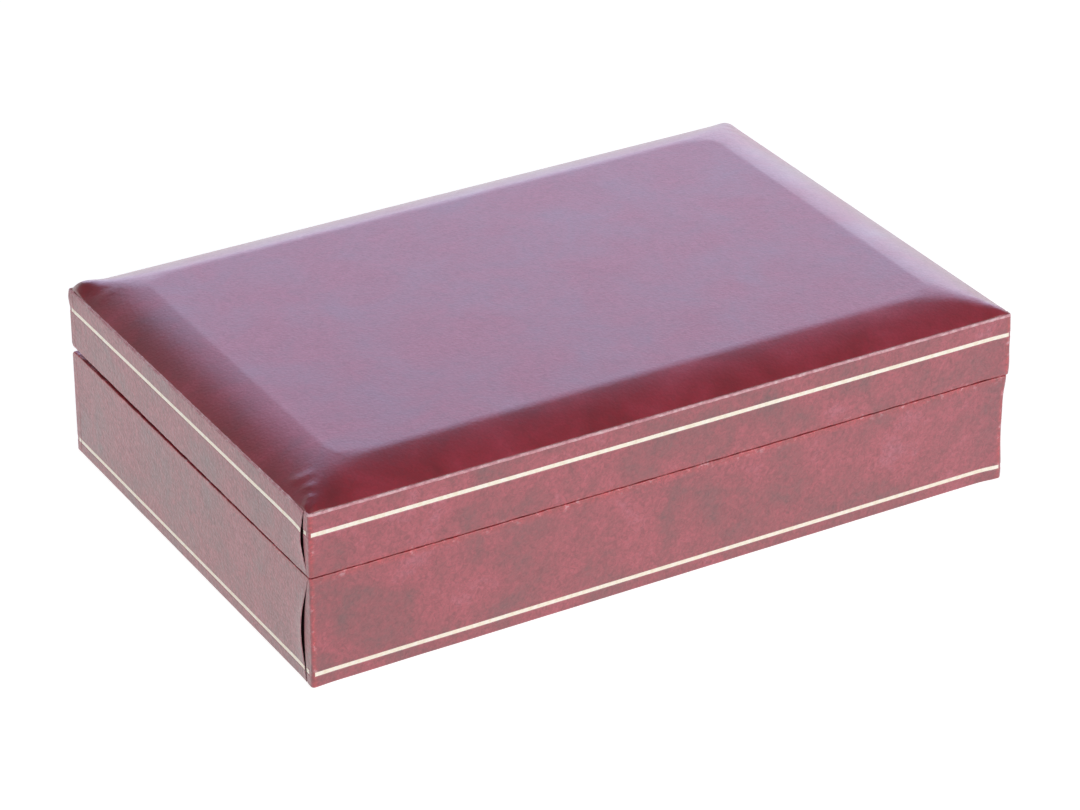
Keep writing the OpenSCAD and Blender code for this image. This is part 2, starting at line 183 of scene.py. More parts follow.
def rim_z(y):
    """Height of the base's rim at depth y: falling evenly as the seam opens, then down the rear bevel."""
    gap = SEAM_FRONT + (SEAM_REAR - SEAM_FRONT) * (y + HALF_W) / (2 * HALF_W)
    bevel = HALF_W + (SEAM_Z - SEAM_REAR / 2) - REAR_BEVEL - y
    return np.minimum(SEAM_Z - gap / 2, bevel)


def bed_stations(tray):
    """Closely spaced distances from a tray's left end across both ends of each hinge's bed."""
    ends = [corner.x for side in ("left", "right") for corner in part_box(f"{side}_hinge_base_leaf")]
    return [x - tray.x0 + np.linspace(-0.8 * MM, 0.8 * MM, 12) for x in ends]


def let_in(x):
    """How deep the rear rim is let in at x: the bed of each hinge, as deep as its leaf and knuckles need."""
    depth = 0
    for side in ("left", "right"):
        lo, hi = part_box(f"{side}_hinge_base_leaf")
        depth = depth + HINGE_BED * smooth((np.minimum(x - lo.x, hi.x - x) + 0.6 * MM) / (0.5 * MM))
    return depth


def from_border(u, v, length, width):
    """Distance in from the nearest border of a rectangle with those sides."""
    return np.minimum(np.minimum(u, length - u), np.minimum(v, width - v))


def over_round(edge, radius):
    """Height gained at distance edge in over a rounded edge: a quarter circle of that radius, then level."""
    return np.sqrt(np.maximum(radius ** 2 - np.maximum(radius - edge, 0) ** 2, 0))


def new_mesh(name, points, faces, materials, body, marks):
    """A piece of the object from its points and faces, on its body. marks says which of the
    materials each face has.
    """
    mesh = bpy.data.meshes.new(name)
    mesh.from_pydata(points, [], faces)
    mesh.validate()
    for m in materials:
        mesh.materials.append(m)
    mesh.polygons.foreach_set("material_index", marks)
    mesh.polygons.foreach_set("use_smooth", np.full(len(mesh.polygons), True))
    mesh.set_sharp_from_angle(angle=math.radians(42))
    mesh.update()
    piece = bpy.data.objects.new(name, mesh)
    bpy.context.scene.collection.objects.link(piece)
    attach(piece, body)
    return piece


def grid_faces(rows, cols, start=0):
    """Quads of a grid of points stored row by row, as an array of four indices each."""
    i = np.arange(rows - 1)[:, None] * cols + np.arange(cols - 1)[None, :] + start
    return np.stack([i, i + 1, i + cols + 1, i + cols], axis=-1).reshape(-1, 4)


def facing_out(points, faces):
    """The quads of a closed mesh, turned round if its signed volume shows that it is inside out."""
    a, b, c, d = (points[faces[:, k]] for k in range(4))
    volume = np.einsum("ij,ij->i", a, np.cross(b, c)) + np.einsum("ij,ij->i", a, np.cross(c, d))
    return faces if volume.sum() > 0 else faces[:, ::-1]


def shell(outer, inner):
    """Closed sheet between two grids of points, shape (rows, cols, 3): both faces and the four edges.

    Returns points, faces and a mark for each face: 0 on the sheet, 1 on the first column's edge (the raw foot
    edge), 2 on the edges at the two ends of the run, 3 on the last column's edge.
    """
    rows, cols = outer.shape[:2]
    count = rows * cols
    points = np.concatenate([outer.reshape(-1, 3), inner.reshape(-1, 3)])
    top = grid_faces(rows, cols)
    back = grid_faces(rows, cols, count)[:, ::-1]
    index = np.arange(count).reshape(rows, cols)

    def band(line):
        a, b = line[:-1], line[1:]
        return np.stack([b, a, a + count, b + count], axis=-1)

    edges = [(index[:, 0][::-1], 1), (index[0], 2), (index[:, -1], 3), (index[-1][::-1], 2)]
    sides = [(band(line), mark) for line, mark in edges]
    faces = np.concatenate([top, back] + [s for s, _ in sides])
    marks = np.concatenate([np.zeros(len(top) + len(back), int)] + [np.full(len(s), m) for s, m in sides])
    return points, facing_out(points, faces), marks


def joined(parts):
    """Several (points, faces, marks) as one."""
    points, faces, marks, shift = [], [], [], 0
    for p, f, m in parts:
        points.append(p)
        faces.append(f + shift)
        marks.append(m)
        shift += len(p)
    return np.concatenate(points), np.concatenate(faces), np.concatenate(marks)


def turned_over(points):
    """A point of the base's tray in the lid's place: mirrored in the middle of the seam."""
    points = points.copy()
    points[..., 2] = 2 * SEAM_Z - points[..., 2]
    return points


# Section of a strip

# Height of the pared raw edge along the lid's strips
RAW_EDGE = 0.9 * MM


class Section:
    """Points across a strip, in seven zones.

    Zone 0 lies under the foot, 1 rounds the foot, 2 climbs the face, 3 rounds the rim, 4 crosses it, 5 rounds
    its inner edge, and 6 goes down inside. t runs from 0 to 1 through each, and angle through a quarter turn.
    climb is the share of the face's height.
    """

    def __init__(self, tray):
        self.tray = tray
        top = float(rim_z(-HALF_W)) - ROUND
        start = tray.foot + (ROUND if tray.under else 0)
        below, above = tray.gilt_z - GILT_ZONE, tray.gilt_z + GILT_ZONE
        heights = spread((start, start + RAW_EDGE, 6), (start + RAW_EDGE, below, 10), (below, above, 30),
                         (above, top, 26))
        zones = []
        if tray.under:
            zones += [(0, np.linspace(0, 1, 8, endpoint=False)), (1, np.linspace(0, 1, 7, endpoint=False))]
        zones.append((2, (heights - start) / (top - start)))
        zones += [(zone, np.linspace(0, 1, steps)[1:]) for zone, steps in ((3, 7), (4, 8), (5, 6), (6, 7))]
        self.zone = np.concatenate([np.full(len(t), z) for z, t in zones])
        self.t = np.concatenate([t for _, t in zones])
        self.parts = [self.zone == k for k in range(7)]
        self.angle = self.t * math.pi / 2
        self.start = start
        self.top = top
        self.climb = np.where(self.zone < 2, 0.0, np.where(self.zone > 2, 1.0, self.t))

    def radii(self, reach, under):
        """Radii of the folds at rim and foot, less where the sheet reaches less far over them."""
        fold = np.minimum(ROUND, under / 2) if self.tray.under else 0 * reach
        return np.minimum(ROUND, reach / 2), fold

    def inward(self, reach, under):
        """Distance in from the outer face, for stations that reach so far over the rim and under the foot."""
        t = self.t
        turn, fold = self.radii(reach, under)
        return np.select(self.parts, [
            under + (fold - under) * t,
            fold * (1 - np.sin(self.angle)),
            0 * reach + 0 * t,
            turn * (1 - np.cos(self.angle)),
            turn + (reach - 2 * turn) * t,
            reach - turn * (1 - np.sin(self.angle)),
            reach + 0 * t])

    def height(self, reach, under, rim, down):
        """Height, for stations with that rim height, turned down inside by down."""
        t = self.t
        turn, fold = self.radii(reach, under)
        foot = self.tray.foot
        gilt = self.tray.gilt_z + GILT_ZONE
        low = self.start + (self.top - self.start) * t
        share = np.clip((low - gilt) / (self.top - gilt), 0, 1)
        climb = np.where(low > gilt, gilt + (rim - turn - gilt) * share, low)
        climb = np.where(t == 0, foot + fold, climb) if self.tray.under else climb
        inside = np.minimum(turn, down)
        return np.select(self.parts, [
            foot + 0 * rim,
            foot + fold * (1 - np.cos(self.angle)),
            climb,
            rim - turn * (1 - np.sin(self.angle)),
            rim,
            rim - inside * (1 - np.cos(self.angle)),
            rim - inside - np.maximum(down - turn, 0) * t])

    def facing(self):
        """The side the sheet faces: (inward, upward) parts of its outward normal."""
        sine, cosine = np.sin(self.angle), np.cos(self.angle)
        none = 0 * sine
        inward = np.select(self.parts, [none, -sine, none - 1, -cosine, none, sine, none + 1])
        upward = np.select(self.parts, [none - 1, -cosine, none, sine, none + 1, cosine, none])
        return inward, upward


# Stations of a long strip at each end: under the end strip, along the wrap, and round the corner
UNDER_SHARES = np.array([1.0, 0.55, 0.12, 0.045])
WRAP_SHARES = spread((1, 0.9, 3), (0.9, 0, 9))
ARC_TURNS = np.radians(np.linspace(0, 90, 8))[:, None]


def wrap_length(corner, climb):
    """How far a wrapped strip reaches round its corner at a share of the height: bowed out midway."""
    rim, middle, foot = corner[:3]
    t = np.clip(climb, 0, 1)
    ends = foot + (rim - foot) * t
    return ends + (middle - (rim + foot) / 2) * np.sin(math.pi * t) ** 0.9


def gap_width(corner, climb):
    """Width of the gap beside the wrapped strip: all but closed at the rim, widest midway."""
    middle, foot = corner[3:5]
    t = np.clip(climb, 0, 1)
    return 0.15 * MM + foot * (1 - t) ** 1.5 + (middle - foot / 4) * np.sin(math.pi * t) ** 1.2


def corner_stations(sec, corner):
    """x from the end, y from the long face, reach, sink and turn of the stations round a corner.

    They run from the hidden end under the end strip, along the wrap and round the corner's arc.
    """
    wrap = wrap_length(corner, sec.climb)[None, :]
    on_end = len(UNDER_SHARES) + len(WRAP_SHARES)
    reach = np.concatenate([np.full(on_end, WRAP_REACH), np.full(len(ARC_TURNS), CORNER)])[:, None]
    n = sec.inward(reach, reach)
    along = np.concatenate([wrap + UNDER_SHARES[:, None] * (UNDERLAY - wrap),
                            CORNER + WRAP_SHARES[:, None] * (wrap - CORNER)])
    radius = CORNER - n[on_end:]
    x = np.concatenate([n[:on_end], CORNER - radius * np.cos(ARC_TURNS)])
    y = np.concatenate([along, CORNER - radius * np.sin(ARC_TURNS)])
    sink = np.zeros((len(x), 1))
    sink[:len(UNDER_SHARES)] = UNDERLAY_SINK
    return x, y, reach, sink, np.concatenate([np.zeros((on_end, 1)), ARC_TURNS])


def long_strip(tray, side):
    """Front or rear strip: outer and inner grids of its sheet, wrapped round both corners.

    The run is the left wrap from its hidden end to the corner, the corner's arc, the face, and the same again
    mirrored. Beyond each wrap's edge the sheet goes on a little under the end strip.
    """
    sec = Section(tray)
    length = tray.x1 - tray.x0
    far = length - NEAR_CORNER
    face = spread((CORNER, NEAR_CORNER, 22), (NEAR_CORNER, far, 150), (far, length - CORNER, 22))
    if side == "rear":
        face = np.unique(np.concatenate([face, *bed_stations(tray)]))
    left = corner_stations(sec, tray.corners[(side, "left")])
    right = corner_stations(sec, tray.corners[(side, "right")])
    face_reach = np.clip(np.minimum(face, length - face), CORNER, RIM_REACH)[:, None]
    face_under = np.clip(np.minimum(face, length - face), CORNER, TURN_UNDER)[:, None]
    face_n = sec.inward(face_reach, face_under)

    x = np.concatenate([left[0], face[:, None] + 0 * face_n, length - right[0][::-1]])
    y = np.concatenate([left[1], face_n, right[1][::-1]])
    reach = np.concatenate([left[2], face_reach, right[2][::-1]])
    under = np.concatenate([left[2], face_under, right[2][::-1]])
    sink = np.concatenate([left[3], np.zeros_like(face_reach), right[3][::-1]])
    turn = np.concatenate([left[4], np.full_like(face_reach, math.pi / 2), math.pi - right[4][::-1]])
    down = np.where(reach > RIM_REACH - 0.01 * MM, TURN_IN, COVER)

    world_y = -HALF_W + y if side == "front" else HALF_W - y
    bed = let_in(tray.x0 + x) if side == "rear" else 0
    z = sec.height(reach, under, rim_z(world_y) - bed, down)
    inward, upward = sec.facing()
    out = np.stack([inward * np.cos(turn), inward * np.sin(turn) * (1 if side == "front" else -1),
                    upward + 0 * turn], axis=-1)
    points = np.stack([tray.x0 + x, world_y, z], axis=-1)
    return finish_sheet(tray, side, points, out, sink, 0 * x, np.full_like(sink, 0.97 * COVER))


# Where an end strip meets a wrap: the gap along the mitre of the rims, how far along the strip its edge lifts
# and is pared, and the thickness of the pared edge and of the rest
MITRE_GAP = 0.06 * MM
LIFT_REACH = 3.5 * MM
PARED_REACH = 8 * MM
PARED = 0.28 * MM
BODY = 0.58 * MM


def end_strip(tray, side):
    """Left or right strip: it butts against the wrapped strips at both corners, where its edge has lifted.

    The edge stands off most midway up, by a sine to the power 1.5, and less and less along the strip.
    """
    sec = Section(tray)
    climb = sec.climb
    shares = spread((0, 0.05, 24), (0.05, 0.95, 96), (0.95, 1, 24))[:, None]
    reach = np.full((len(shares), 1), RIM_REACH + tray.loose[side])
    under = np.full((len(shares), 1), TURN_UNDER)
    n = sec.inward(reach, under)
    front = tray.corners[("front", side)]
    rear = tray.corners[("rear", side)]
    mitre = n[:1] + MITRE_GAP
    start = np.maximum(wrap_length(front, climb) + gap_width(front, climb), mitre)
    stop = 2 * HALF_W - np.maximum(wrap_length(rear, climb) + gap_width(rear, climb), mitre)
    y = start + shares * (stop - start)
    world_y = -HALF_W + y
    x = tray.x0 + n if side == "left" else tray.x1 - n
    z = sec.height(reach, under, rim_z(world_y), np.full_like(reach, TURN_IN))
    bow = np.sin(math.pi * climb) ** 1.5
    lift = bow * (front[5] * np.exp(-(y - start) / LIFT_REACH) + rear[5] * np.exp(-(stop - y) / LIFT_REACH))
    whole = smooth(np.minimum(y - PARED_REACH, 2 * HALF_W - PARED_REACH - y)[:, :1] / (2 * MM))
    thick = PARED + (BODY - PARED) * whole
    inward, upward = sec.facing()
    out = np.stack([(inward if side == "left" else -inward) + 0 * x, 0 * x, upward + 0 * x], axis=-1)
    points = np.stack([x, world_y, z], axis=-1)
    return finish_sheet(tray, side, points, out, 0 * reach, lift, thick)


def seed_of(tray, side):
    """A number for each strip, from which its waves and scallops are drawn."""
    return 10 * ["front", "rear", "left", "right"].index(side) + (100 if tray.turned else 0) + 7


# How much the face waves and the rim wavers, and how the lid's raw edge is thinned, scalloped and raised: it
# stands up beside the top covering where the photo shows it, and lies under it on the far sides
WAVE = 0.045 * MM
WAVER = 0.11 * MM
THINNED = 0.15 * MM
SCALLOP = 0.10 * MM
EDGE_RISE = {"front": 0.08 * MM, "left": 0.08 * MM, "rear": -0.30 * MM, "right": -0.30 * MM}


def finish_sheet(tray, side, points, out, sink, lift, thick):
    """Outer and inner grids of a strip, with its waves, knocks and groove, and the lid's raw edge.

    A knock is a bell round its place on the corner. The groove is a trough that falls to its depth over a
    quarter of a millimetre on both sides of the line.
    """
    seed = seed_of(tray, side)
    along = points[..., 0] + points[..., 1]
    wave = WAVE * swell(along, points[..., 2], seed, 38 * MM)
    for (name, end, hand), knocks in KNOCKS.items():
        if name == tray.name:
            cx = tray.x0 if hand == "left" else tray.x1
            cy = -HALF_W if end == "front" else HALF_W
            near = np.exp(-((points[..., 0] - cx) ** 2 + (points[..., 1] - cy) ** 2) / KNOCK_SPREAD ** 2)
            near = near * np.hypot(out[..., 0], out[..., 1])
            wave = wave + sum(far * near * np.exp(-((points[..., 2] - z) / tall) ** 2)
                              for z, far, tall in knocks)
    off_line = np.abs(points[..., 2] - tray.gilt_z)
    groove = GROOVE_DEPTH * (1 - smooth((off_line - GILT_WIDTH / 2) / (0.28 * MM)))
    face = (np.abs(out[..., 2]) < 0.01) & (points[..., 2] > tray.foot)
    inner = points + out * (lift - sink - thick + wave)[..., None]
    outer = points + out * (lift - sink + wave - np.where(face, groove, 0))[..., None]
    rising = smooth((points[..., 2] - (SEAM_Z - 3 * MM)) / (3 * MM))
    waver = WAVER * rising * (ripple(along, seed + 9, 13 * MM) - 0.35)
    outer[..., 2] = np.maximum(outer[..., 2] + waver, 0)
    inner[..., 2] += waver
    if tray.turned:
        up_in = points[..., 2] - tray.foot
        thinned = THINNED * np.clip(1 - up_in / (0.8 * MM), 0, 1) ** 1.5
        thinned = thinned * (1 + 0.2 * ripple(along, seed + 5, 3.4 * MM))
        outer = outer - out * np.where(up_in < RAW_EDGE, thinned, 0)[..., None]
        scallop = SCALLOP * ripple(along[:, :1], seed + 3, 6.5 * MM) + EDGE_RISE[side]
        fade = np.clip(1 - up_in / (2.5 * MM), 0, 1)
        outer[..., 2] -= scallop * fade
        inner[..., 2] -= scallop * fade
    return outer, inner


def worn(tray, side, outer):
    """How worn each point of a strip is, and where its rounded rim takes a painted highlight: most along the
    upright corners and the rim, fading away.
    """
    sec = Section(tray)
    # Rim and top of the face: partly rubbed, partly a painted highlight where the rounded rim catches the
    # light, strongest on the base
    rim = np.select([sec.zone == 3, sec.zone == 4, sec.zone >= 5], [1.0, 0.6, 0.0],
                    np.clip(1 - (1 - sec.climb) / 0.06, 0, 1))
    wear_and_highlight = np.tile(rim[None, :], (len(outer), 1)) * (0.5 if tray.turned else 0.95)
    if side in ("front", "rear"):
        x = outer[..., 0]
        near = np.minimum(np.abs(x - tray.x0 - CORNER), np.abs(tray.x1 - CORNER - x))
        wear_and_highlight = np.maximum(wear_and_highlight, np.exp(-(near / (0.75 * MM)) ** 2))
    return wear_and_highlight


def make_strip(tray, side, grids):
    """A strip of leatherette in place of its solid: cut edges pale, also as painted highlight on the lid, and
    hidden ends painted dark as shade.
    """
    outer, inner = grids
    wear_and_highlight = worn(tray, side, outer)
    if tray.turned:
        outer, inner = turned_over(outer), turned_over(inner)
    points, faces, marks = shell(outer, inner)
    rows, cols = outer.shape[0] - 1, outer.shape[1] - 1
    row, column = np.divmod(np.arange(len(marks)), cols)
    on_face = row < rows
    # On the lid the first columns of the face take the pale cut-edge finish too: a painted highlight along
    # the raw edge
    highlit_columns = 5 if tray.turned else 0
    raw = (marks == 2) | ((marks == 1) & tray.turned) | (on_face & (column < highlit_columns))
    # The rows under the end strip are painted dark: painted shade in the gap beside the wrap
    hidden = len(UNDER_SHARES) - 1 if side in ("front", "rear") else 0
    in_painted_shade = on_face & ((row < hidden) | (row >= rows - hidden))
    node = f"{tray.name}_{side}_cover"
    piece = new_mesh(f"{node}_leatherette", points, faces, [strip_leather, cut_edge_and_highlight, painted_shade_underlay], tray.name,
                     np.where(in_painted_shade, 2, np.where(raw, 1, 0)))
    layer = piece.data.attributes.new("worn", "FLOAT", "POINT")
    layer.data.foreach_set("value", np.concatenate([wear_and_highlight.ravel(), 0 * wear_and_highlight.ravel()]))
    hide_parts(node)


# Top covering

# How far in from the strips' outer faces the covering ends, and the bevels' radius and widths
LEDGE_FRONT = 0.55 * MM
LEDGE_LEFT = 0.30 * MM
LEDGE_FAR = 0.10 * MM
BEVEL_RADIUS = 50 * MM
BEVEL_SIDE = 15.7 * MM
BEVEL_END = 18.2 * MM
# Swellings at the rear left corner and at the others: height, how far in from the corner, and reach
BUNCHED = (1.3 * MM, 3.6 * MM, 5.0 * MM)
DRAWN = (0.3 * MM, 3.0 * MM, 3.5 * MM)
# Creases at a corner, in millimetres: x and y in from it where each starts and ends, height and width
CREASES = (
    (2.0, 18.6, 8.4, 12.6, 0.26, 2.0), (3.0, 12.4, 8.2, 7.8, 0.22, 1.7), (6.0, 17.5, 10.5, 13.6, 0.12, 1.8),
    (2.2, 7.2, 5.6, 4.2, 0.12, 1.1), (0.4, 0.6, 5.2, 3.4, 0.18, 0.7), (0.5, 2.4, 2.2, 6.0, 0.12, 0.7),
)


def bevel_height(d, width):
    """Height of the convex bevel above its outer edge, at distance d in.

    An arc reaches the top at the bevel's width, and its tangent carries it on from there.
    """
    rise = TOP_Z - LID_EDGE_Z
    chord = math.hypot(width, rise)
    drop = math.sqrt(BEVEL_RADIUS ** 2 - chord ** 2 / 4)
    cd = width / 2 + rise / chord * drop
    cz = rise / 2 - width / chord * drop
    slope = (cd - width) / (rise - cz)
    arc = cz + np.sqrt(BEVEL_RADIUS ** 2 - (np.minimum(d, width) - cd) ** 2)
    return arc + slope * np.maximum(d - width, 0)


def soft_least(a, b, blend):
    """The lesser of two heights, rounded off where they come within blend of each other."""
    near = np.maximum(blend - np.abs(a - b), 0) / blend
    return np.minimum(a, b) - near ** 2 * blend / 4


def crease(x, y, x0, y0, x1, y1, width, height):
    """A fold of that height along the line between two points, fading out at both ends."""
    dx, dy = x1 - x0, y1 - y0
    length = math.hypot(dx, dy)
    along = ((x - x0) * dx + (y - y0) * dy) / length ** 2
    across = ((x - x0) * dy - (y - y0) * dx) / length
    return height * np.exp(-(across / width) ** 2) * np.sin(math.pi * np.clip(along, 0, 1)) ** 1.5


def gathered(x, y, left, right, front, rear):
    """How far the sheet stands up at the corners: a bell-shaped swelling and a few creases at each.

    The swelling is largest at the rear left, where the photo shows it bunched. The creases are highest at the
    front left.
    """
    height = 0
    for sx, cx in ((-1, left), (1, right)):
        for sy, cy in ((-1, front), (1, rear)):
            sharp = 1 if (sx, sy) == (-1, -1) else 0.5
            bulge, middle, reach = BUNCHED if (sx, sy) == (-1, 1) else DRAWN
            near = ((x - cx + sx * middle) ** 2 + (y - cy + sy * middle) ** 2) / reach ** 2
            height = height + bulge * np.exp(-near)
            for x0, y0, x1, y1, high, wide in CREASES:
                height = height + crease(x, y, cx - sx * x0 * MM, cy - sy * y0 * MM, cx - sx * x1 * MM,
                                         cy - sy * y1 * MM, wide * MM, sharp * high * MM)
    return height


def top_covering():
    """The cushion top: four convex bevels that meet in soft mitres round a flat panel, its edge rolled down.

    Each point's height is the softened least of the bevels' arcs and the panel, crisper beside the end
    bevels, with faint waves and the gathered corners on it. At the rear left corner the sheet hangs down.
    """
    left, right = lid.x0 + LEDGE_LEFT, lid.x1 - LEDGE_FAR
    front, rear = -HALF_W + LEDGE_FRONT, HALF_W - LEDGE_FAR
    half_l, half_w = (right - left) / 2, (rear - front) / 2
    across = spread((0, 2 * MM, 9), (2 * MM, 22 * MM, 44), (22 * MM, half_l, 56))
    deep = spread((0, 2 * MM, 9), (2 * MM, 20 * MM, 40), (20 * MM, half_w, 36))
    dx, dy = np.meshgrid(both_ways(across, 2 * half_l), both_ways(deep, 2 * half_w), indexing="ij")
    ex = np.minimum(dx, 2 * half_l - dx)
    ey = np.minimum(dy, 2 * half_w - dy)
    x = left + dx
    y = front + dy
    end_arc, side_arc = bevel_height(ex, BEVEL_END), bevel_height(ey, BEVEL_SIDE)
    arcs = soft_least(end_arc, side_arc, 1.6 * MM)
    blend = (0.07 + 0.27 * smooth(0.5 + (end_arc - side_arc) / (1 * MM))) * MM
    z = LID_EDGE_Z + soft_least(arcs, TOP_Z - LID_EDGE_Z + 0 * arcs, blend)
    edge = np.minimum(ex, ey)
    roll = np.where(np.minimum(dx, dy) > edge, 0.14 * MM, 0.32 * MM)
    z = z - (roll - over_round(edge, roll))
    z = z + 0.05 * MM * swell(x, y, 5, 46 * MM) * smooth(edge / (3 * MM))
    z = z + gathered(x, y, left, right, front, rear) * smooth(edge / (0.5 * MM))
    hang = np.exp(-(dx ** 2 + (2 * half_w - dy) ** 2) / (3.8 * MM) ** 2)
    x = x - 0.3 * MM * hang
    y = y + 0.25 * MM * hang
    z = z - 1.7 * MM * hang * (1 - smooth(edge / (3.2 * MM)))
    outer = np.stack([x, y, z], axis=-1)
    points, faces, marks = shell(outer, outer - np.array([0, 0, 0.55 * MM]))
    piece = new_mesh("lid_top_leatherette", points, faces, [top_leather], "lid", 0 * marks)
    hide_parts("lid_top_cover")


# Gilt lines

def foil_stretches(side, outer, inner):
    """The parts of a strip's grids that keep their foil: an end strip, or a long strip's wraps and face."""
    if side in ("left", "right"):
        return [(outer, inner)]
    count = len(outer)
    hidden = len(UNDER_SHARES)
    fold = hidden + len(WRAP_SHARES) - 4
    face = hidden + len(WRAP_SHARES) + len(ARC_TURNS)
    return [(outer[a:b], inner[a:b]) for a, b in
            ((hidden, fold), (face, count - face), (count - fold, count - hidden))]


def gilt_line(tray, grids):
    """The foil pressed into the groove: a strip over the line's width on each sheet, as thick as the foil.

    It is worn away over each corner's fold, so it stops short of it and starts again on the wrap beyond.
    """
    parts = []
    for outer, inner in (part for side, pair in grids.items() for part in foil_stretches(side, *pair)):
        flat = np.abs(outer[..., 2] - tray.gilt_z) < GILT_WIDTH / 2 + 0.02 * MM
        cols = np.where(flat.all(axis=0))[0]
        sheet = outer[:, cols]
        normal = sheet - inner[:, cols]
        normal /= np.linalg.norm(normal, axis=-1, keepdims=True)
        under, over = sheet - 0.01 * MM * normal, sheet + FOIL * normal
        if tray.turned:
            under, over = turned_over(under), turned_over(over)
        parts.append(shell(over, under))
    points, faces, marks = joined(parts)
    piece = new_mesh(f"{tray.name}_gilt_foil", points, faces, [gilt_foil], tray.name, 0 * marks)
    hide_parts(f"{tray.name}_gilt_line")


# Linings and pads

CARD_EDGE = 0.33 * MM


def card(node, finish, body):
    """A lined card standing on a wall: a thin slab with rounded edges, a little uneven on its face.

    Both faces stand half the card's thickness from its middle, and round over a quarter circle at the border.
    """
    lo, hi = (np.array(c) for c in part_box(node))
    size = hi - lo
    thin = int(np.argmin(size))
    wide, tall = [k for k in range(3) if k != thin]
    r = min(CARD_EDGE, size[thin] / 2 - 0.02 * MM)
    u = spread((0, r, 4), (r, size[wide] - r, 90), (size[wide] - r, size[wide], 4))
    v = spread((0, r, 4), (r, size[tall] - r, 20), (size[tall] - r, size[tall], 4))
    gu, gv = np.meshgrid(u, v, indexing="ij")
    half = size[thin] / 2 - r + over_round(from_border(gu, gv, size[wide], size[tall]), r)
    half = half * (1 - 0.05 * (1 + swell(gu, gv, int(1e4 * size[wide]) % 97, 30 * MM)))
    grids = []
    for s in (1, -1):
        g = np.empty(gu.shape + (3,))
        g[..., wide] = lo[wide] + gu
        g[..., tall] = lo[tall] + gv
        g[..., thin] = (lo[thin] + hi[thin]) / 2 + s * half
        grids.append(g)
    points, faces, marks = shell(*grids)
    piece = new_mesh(f"{node}_cloth", points, faces, [finish], body, 0 * marks)
    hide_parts(node)


# The pads' cloth: the size of its mesh, and for how many frames it is pressed
CLOTH_STEP = 2.5 * MM
FRAMES = 20


def pressed_cloth(length, width, seed):
    """How far a sheet of cloth rises over its stuffing: its two axes, and the rise where they cross.

    The sheet is three per cent too large for its board and held along its border. Pressure from inside lifts
    it, so it crowns in the middle and puckers where it is held. Faint waves decide where the puckers start.
    """
    u = np.linspace(0, length, round(length / CLOTH_STEP) + 1)
    v = np.linspace(0, width, round(width / CLOTH_STEP) + 1)
    gu, gv = np.meshgrid(u, v, indexing="ij")
    edge = from_border(gu, gv, length, width)
    start = 0.4 * MM * swell(gu, gv, seed, 24 * MM) * smooth(edge / (6 * MM))
    start = start + 1.2 * MM * smooth(edge / (20 * MM))
    mesh = bpy.data.meshes.new("stuffing")
    points = np.stack([gu, gv, start], axis=-1).reshape(-1, 3)
    mesh.from_pydata(points, [], grid_faces(len(u), len(v))[:, ::-1])
    sheet = bpy.data.objects.new("stuffing", mesh)
    scene = bpy.context.scene
    scene.collection.objects.link(sheet)
    held = sheet.vertex_groups.new(name="held")
    held.add(np.where(edge.ravel() < 0.5 * MM)[0].tolist(), 1.0, "REPLACE")
    cloth = sheet.modifiers.new("cloth", "CLOTH")
    cloth.collision_settings.use_collision = False
    cloth.point_cache.frame_start = 1
    cloth.point_cache.frame_end = FRAMES + 1
    fabric = cloth.settings
    fabric.use_pressure = True
    fabric.uniform_pressure_force = 4
    fabric.effector_weights.gravity = 0
    fabric.vertex_group_mass = "held"
    fabric.shrink_min = -0.03
    fabric.quality = 8
    fabric.bending_stiffness = 0.05
    for number in range(1, FRAMES + 1):
        scene.frame_set(number)
    settled = sheet.evaluated_get(bpy.context.evaluated_depsgraph_get())
    found = np.empty(len(mesh.vertices) * 3)
    settled.to_mesh().vertices.foreach_get("co", found)
    settled.to_mesh_clear()
    bpy.data.objects.remove(sheet)
    bpy.data.meshes.remove(mesh)
    scene.frame_set(1)
    return u, v, found.reshape(len(u), len(v), 3)[..., 2]


def read_between(axis, wanted):
    """Weights that read values known along an axis at other places: bells 1.9 mm wide, adding up to 1."""
    bells = np.exp(-((wanted[:, None] - axis[None, :]) / (1.9 * MM)) ** 2)
    return bells / bells.sum(axis=1, keepdims=True)


def padded_panel(node, finish, body, board, most, seed):
    """A padded panel: flat where it rests, its cloth drawn down over the edge and lifted by its stuffing.

    board is the share of the solid's thickness that the board keeps. The cloth's rise is scaled down, and a
    hyperbolic tangent holds it to no more than most.
    """
    lo, hi = (np.array(c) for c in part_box(node))
    length, width, thick = hi - lo
    u = spread((0, 1.2 * MM, 8), (1.2 * MM, 14 * MM, 26), (14 * MM, length / 2, 76))
    v = spread((0, 1.2 * MM, 8), (1.2 * MM, 14 * MM, 26), (14 * MM, width / 2, 50))
    u, v = both_ways(u, length), both_ways(v, width)
    gu, gv = np.meshgrid(u, v, indexing="ij")
    edge = from_border(gu, gv, length, width)
    drawn = np.sqrt(np.maximum(1 - (1 - np.clip(edge / (3 * MM), 0, 1)) ** 2, 0))
    axis_u, axis_v, rise = pressed_cloth(length, width, seed)
    rise = read_between(axis_u, u) @ rise @ read_between(axis_v, v).T
    rise = np.maximum(rise, 0) * smooth(edge / (2.5 * MM))
    top = thick * (0.12 + (board - 0.12) * drawn) + most * np.tanh(0.2 * rise / most)
    face = np.stack([lo[0] + gu, lo[1] + gv, lo[2] + top], axis=-1)
    rest = np.stack([lo[0] + gu, lo[1] + gv, lo[2] + 0 * top], axis=-1)
    if body == "lid":
        face[..., 2] = lo[2] + hi[2] - face[..., 2]
        rest[..., 2] = hi[2]
    points, faces, marks = shell(face, rest)
    piece = new_mesh(f"{node}_cloth", points, faces, [finish], body, 0 * marks)
    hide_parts(node)


# Materials

